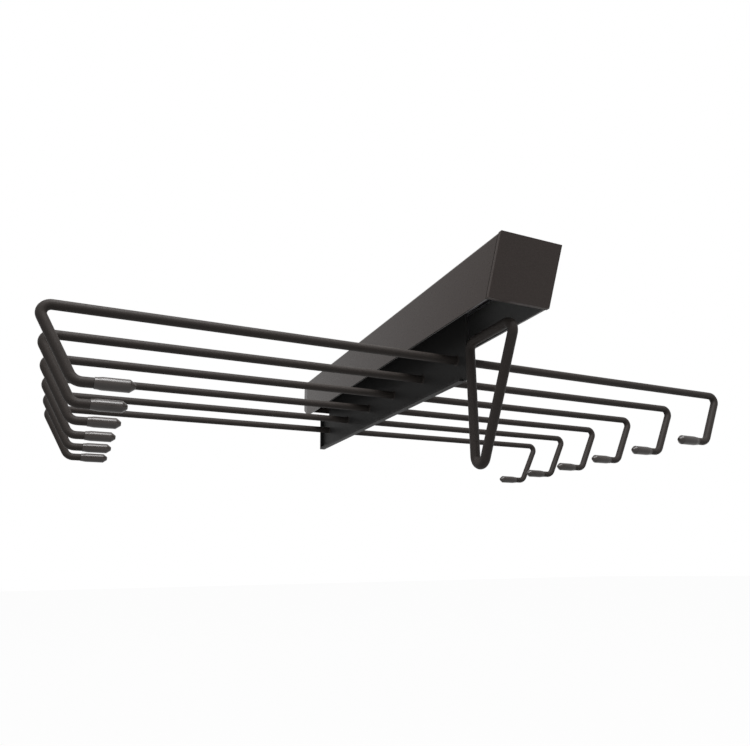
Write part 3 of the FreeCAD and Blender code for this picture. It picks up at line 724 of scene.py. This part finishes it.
def soften(node, name, width, finish, body, segments=2, merge=SAME_CORNER):
    """A copy of a node's mesh with every edge that folds by more than SHARP_ABOVE rounded.

    Corners closer together than merge become one, because a tiny step would stop the rounding.
    """
    work = bmesh.new()
    work.from_mesh(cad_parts[node].data)
    bmesh.ops.remove_doubles(work, verts=work.verts, dist=merge)
    bmesh.ops.dissolve_limit(
        work, angle_limit=FLAT_WITHIN, verts=work.verts, edges=work.edges
    )
    rough = bpy.data.meshes.new(f"{name}_sharp")
    work.to_mesh(rough)
    work.free()
    rough.shade_smooth()
    holder = bpy.data.objects.new(f"{name}_sharp", rough)
    bpy.context.scene.collection.objects.link(holder)
    rounding = holder.modifiers.new("rounding", "BEVEL")
    rounding.width = width
    rounding.segments = segments
    rounding.limit_method = "ANGLE"
    rounding.angle_limit = SHARP_ABOVE
    rounding.miter_outer = "MITER_ARC"
    shading = holder.modifiers.new("shading", "WEIGHTED_NORMAL")
    shading.mode = "FACE_AREA"
    shading.weight = LARGE_FACE_WEIGHT
    bpy.context.view_layer.update()
    graph = bpy.context.evaluated_depsgraph_get()
    mesh = bpy.data.meshes.new_from_object(holder.evaluated_get(graph))
    mesh.name = name
    bpy.data.objects.remove(holder)
    mesh.materials.clear()
    piece = add_piece(name, mesh, finish, body)
    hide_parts(node)
    print(name, "has", len(mesh.polygons), "faces")


COVER_EDGE = 0.3 * MM
BLADE_EDGE = 0.25 * MM
MOULDED_EDGE = 0.4 * MM
RUBBER_EDGE = 0.8 * MM
TONGUE_STEP = 0.06 * MM
soften("cover", "folded_cover", COVER_EDGE, cover_coat, "root")
soften("front_plate", "folded_front_plate", COVER_EDGE, plate_coat, "carriage")
soften(
    "rear_cap", "moulded_rear_cap", MOULDED_EDGE, cap_plastic, "root",
    merge=TONGUE_STEP,
)
soften("blade", "folded_blade", BLADE_EDGE, blade_coat, "carriage")
soften("carrier_strip", "soft_carrier_strip", BLADE_EDGE, blade_coat, "carriage")
soften(
    "closing_buffer", "soft_buffer", RUBBER_EDGE, buffer_rubber, "root",
    segments=3,
)

# %% [markdown]
# ## Weld beads
# A ring of weld holds each wire on both sides of the blade. It is a hollow fillet that blends from
# the wire to the sheet, and a hand-held torch makes its foot wander a little. The bead is a closed
# tube round the wire whose section is that fillet.


# %% Beads round the wires
WELD_FOOT = 1.1 * MM
WELD_DEPTH = 0.3 * MM
WANDER_STEP = 1.7


def weld_ring(centre, wire_radius, foot, side, seed, sides=30, across=9):
    """Fillet between a wire along X and the sheet's face.

    Section, with s from 0 to 1: height above the sheet h = f*(1 - s)^2 and radius
    r = R + f*s^2, a hollow curve. Its foot f is the given one times
    1 + 0.12*sin(2u + p) + 0.07*sin(5u + 2.3p), where p is the seed, so it wanders round the wire.
    Two more points, inside the sheet and inside the wire, close the section.
    """
    u = np.linspace(0, 2 * math.pi, sides, endpoint=False)[:, None]
    s = np.linspace(0, 1, across)[None, :]
    reach = foot * (1 + 0.12 * np.sin(2 * u + seed) + 0.07 * np.sin(5 * u + 2.3 * seed))
    inside_sheet = -WELD_DEPTH + 0 * u
    height = np.concatenate([reach * (1 - s) ** 2, inside_sheet, inside_sheet], axis=1)
    radius = np.concatenate([
        wire_radius + reach * s ** 2, wire_radius + reach, wire_radius - WELD_DEPTH + 0 * u
    ], axis=1)
    rings = np.stack([
        centre[0] + side * height, centre[1] + radius * np.cos(u), centre[2] + radius * np.sin(u)
    ], axis=-1)
    return rings if side > 0 else rings[:, ::-1]


for index in range(WIRE_COUNT):
    for side_name, side in SIDES:
        rings = weld_ring(
            (side * BLADE_SHEET / 2, wire_y(index), WIRE_Z), WIRE_RADIUS, WELD_FOOT, side,
            seed=WANDER_STEP * index + side,
        )
        skin(
            f"weld_ring_{index + 1}_{side_name}", rings, wire_coat, "wire_coat", "carriage",
            joined=True,
        )
print("weld rings:", WIRE_COUNT * 2)

# %% [markdown]
# The handle's rear leg is tacked to the blade's front edge in two places, near the blade's foot
# and below the handle's top bend. A tack is a small uneven egg of weld, stood on end, that overlaps
# both the wire and the sheet.


# %% Tacks between the handle and the blade
TACK_HALF_SIZES = (1.9 * MM, 1.5 * MM, 2.2 * MM)
TACK_SETBACK = HANDLE_RADIUS * 0.93
TACK_ABOVE_FOOT = 2.0 * MM
TACK_BELOW_BEND = 3.0 * MM
POLE_ANGLE = 0.12


def tack(centre, half_sizes, seed, rings=14, sides=20):
    """Lump (a*sin(v)*cos(u), b*sin(v)*sin(u), -c*cos(v)) times 1 + 0.06*sin(3u + 2v + seed)."""
    v = np.linspace(POLE_ANGLE, math.pi - POLE_ANGLE, rings)[:, None]
    u = np.linspace(0, 2 * math.pi, sides, endpoint=False)[None, :]
    swell = 1 + 0.06 * np.sin(3 * u + 2 * v + seed)
    a, b, c = half_sizes
    return np.stack([
        centre[0] + a * swell * np.sin(v) * np.cos(u),
        centre[1] + b * swell * np.sin(v) * np.sin(u),
        centre[2] - c * swell * np.cos(v) + 0 * u,
    ], axis=-1)


tack_heights = (
    BLADE_BOTTOM + TACK_ABOVE_FOOT, HANDLE_TOP_Z - HANDLE_TOP_BEND - TACK_BELOW_BEND
)
for number, height in enumerate(tack_heights, start=1):
    rake = HANDLE_RAKE * (HANDLE_TOP_Z - height) / HANDLE_DROP
    centre = (0, HANDLE_REAR_Y + rake + TACK_SETBACK, height)
    skin(
        f"handle_tack_{number}", tack(centre, TACK_HALF_SIZES, number),
        wire_coat, "wire_coat", "carriage",
    )
print("tacks at depths:", [round(-height / MM) for height in tack_heights], "mm")

# %% [markdown]
# ## Runner parts
# The members, cages and balls of the runner keep the engineering model's own meshes, because their
# shapes are already right. Only their finish is new.

# %% Finishes on the kept nodes
kept_finishes = {
    "runner_outer_member": runner_zinc,
    "runner_middle_member": runner_zinc,
    "runner_inner_member": runner_zinc,
    "outer_ball_cage": cage_steel,
    "inner_ball_cage": cage_steel,
    "outer_balls": ball_steel,
    "inner_balls": ball_steel,
    "strip_screws": screw_zinc,
}
for node, finish in kept_finishes.items():
    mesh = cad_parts[node].data
    mesh.materials.clear()
    mesh.materials.append(finish)
print("kept nodes with a new finish:", len(kept_finishes))
